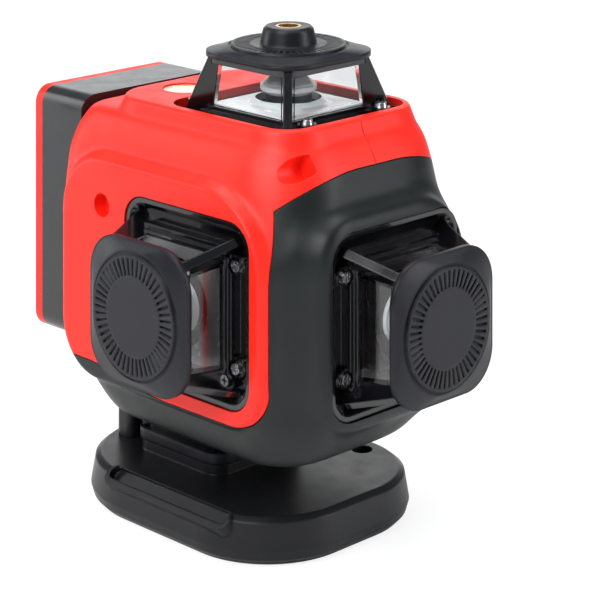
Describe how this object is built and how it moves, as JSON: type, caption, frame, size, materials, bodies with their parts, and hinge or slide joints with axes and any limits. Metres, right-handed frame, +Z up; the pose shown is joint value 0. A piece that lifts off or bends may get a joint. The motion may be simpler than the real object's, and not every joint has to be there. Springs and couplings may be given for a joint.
{
  "type": "self-levelling cross-line laser level",
  "caption": "Self-levelling line laser with cone windows on top, front, left and underneath, a red and charcoal housing, gimballed pendulum, slide-off battery pack and flat tripod base.",
  "frame": {"origin": "mouth of the tripod thread in the base underside, straight below the vertical laser axis", "axes": "+Z up; +X out of the front window, -Y out of the left window, -X towards the battery pack"},
  "size_m": [0.1556, 0.1157, 0.1532],
  "materials": {
    "board_green": "green circuit board",
    "brass": "machined brass",
    "bright_steel": "nickel-plated steel",
    "cast_alloy": "die-cast alloy",
    "cell_wrap": "blue shrink-wrapped cell",
    "charcoal_base": "satin charcoal plastic",
    "charcoal_cap": "satin bluish charcoal plastic",
    "charcoal_shell": "soft-touch charcoal overmould",
    "chip_black": "epoxy package",
    "clear_glass": "clear polished glass",
    "contact_gold": "gold-flashed contact",
    "copper": "copper",
    "foot_rubber": "black rubber",
    "key_rubber": "grey silicone key",
    "keypad_black": "glossy black keypad plate",
    "knob_grey": "grey textured plastic",
    "magnet_plate": "nickel-plated magnet",
    "module_black": "black anodised barrel",
    "nylon_white": "natural nylon",
    "red_shell": "fine satin moulded ABS, orange-red",
    "switch_metal": "stamped steel",
    "vial_acrylic": "clear acrylic with a pale rim",
    "vial_fluid": "yellow-green vial fluid",
    "window_black": "glossy black plastic"
  },
  "bodies": {
    "housing": {"housing_left": "red_shell", "housing_right": "red_shell", "front_trim_shell": "charcoal_shell", "housing_screws": "bright_steel", "top_window_frame": "window_black", "top_window_glass": "clear_glass", "top_window_cap": "charcoal_cap", "left_window_frame": "window_black", "left_window_glass": "clear_glass", "left_window_cap": "charcoal_cap", "front_window_frame": "window_black", "front_window_glass": "clear_glass", "front_window_cap": "charcoal_cap", "accessory_thread_insert": "brass", "bottom_window_frame": "window_black", "bottom_window_glass": "clear_glass", "bottom_window_cap": "charcoal_cap", "window_screws": "bright_steel", "base_plate": "charcoal_base", "base_feet": "foot_rubber", "base_screws": "bright_steel", "tripod_thread_insert": "brass", "base_column": "charcoal_base", "vial_cup": "vial_acrylic", "vial_fluid": "vial_fluid", "vial_lens": "clear_glass", "chassis": "cast_alloy", "chassis_screws": "bright_steel", "magnet_bracket": "cast_alloy", "damping_magnets": "magnet_plate", "lock_bracket": "cast_alloy", "keypad_panel": "keypad_black", "key_board": "board_green", "key_switches": "switch_metal", "main_board": "board_green", "board_chips": "chip_black", "dock_contacts": "contact_gold"},
    "gimbal": {"gimbal_ring": "cast_alloy", "gimbal_pins": "bright_steel"},
    "pendulum": {"pendulum_block": "cast_alloy", "laser_modules": "module_black", "cone_holders": "module_black", "cone_prisms": "clear_glass", "damping_fin": "copper", "balance_screws": "contact_gold"},
    "lock_knob": {"lock_knob": "knob_grey", "lock_shaft": "bright_steel", "lock_cam": "nylon_white"},
    "lock_pad": {"lock_pad": "foot_rubber"},
    "power_key": {"power_key": "key_rubber"},
    "horizontal_key": {"horizontal_key": "key_rubber"},
    "vertical_key": {"vertical_key": "key_rubber"},
    "pulse_key": {"pulse_key": "key_rubber"},
    "battery_pack": {"battery_tray": "charcoal_shell", "battery_cover": "red_shell", "battery_cells": "cell_wrap", "battery_contacts": "contact_gold", "charge_socket": "switch_metal"},
    "battery_latch": {"battery_latch": "knob_grey"},
    "charge_flap": {"charge_flap": "foot_rubber"}
  },
  "joints": [
    {"name": "gimbal_pitch", "type": "hinge", "parent": "housing", "child": "gimbal", "pos_m": [0, 0, 0.104], "axis": [0, 1, 0], "range_deg": [-3.5, 3.5]},
    {"name": "pendulum_roll", "type": "hinge", "parent": "gimbal", "child": "pendulum", "pos_m": [0, 0, 0.104], "axis": [1, 0, 0], "range_deg": [-3.5, 3.5]},
    {"name": "lock_turn", "type": "hinge", "parent": "housing", "child": "lock_knob", "pos_m": [0.003, 0, 0.05], "axis": [0, -1, 0], "range_deg": [0, 90]},
    {"name": "lock_lift", "type": "slide", "parent": "housing", "child": "lock_pad", "axis": [0, 0, 1], "range_m": [0, 0.0013]},
    {"name": "power_key_press", "type": "slide", "parent": "housing", "child": "power_key", "axis": [0, -1, 0], "range_m": [0, 0.0006], "stiffness_N_per_m": 400},
    {"name": "horizontal_key_press", "type": "slide", "parent": "housing", "child": "horizontal_key", "axis": [0, -1, 0], "range_m": [0, 0.0006], "stiffness_N_per_m": 400},
    {"name": "vertical_key_press", "type": "slide", "parent": "housing", "child": "vertical_key", "axis": [0, -1, 0], "range_m": [0, 0.0006], "stiffness_N_per_m": 400},
    {"name": "pulse_key_press", "type": "slide", "parent": "housing", "child": "pulse_key", "axis": [0, -1, 0], "range_m": [0, 0.0006], "stiffness_N_per_m": 400},
    {"name": "battery_pull", "type": "slide", "parent": "housing", "child": "battery_pack", "axis": [-1, 0, 0], "range_m": [0, 0.03]},
    {"name": "latch_press", "type": "slide", "parent": "battery_pack", "child": "battery_latch", "axis": [0, 0, 1], "range_m": [0, 0.0012], "stiffness_N_per_m": 300},
    {"name": "charge_flap_swing", "type": "hinge", "parent": "battery_pack", "child": "charge_flap", "pos_m": [-0.082, 0.0175, 0.0458], "axis": [0, 1, 0], "range_deg": [0, 90]}
  ],
  "couplings": [
    {"joint": "lock_lift", "follows": "lock_turn", "m_per_rad": 0.00081}
  ]
}
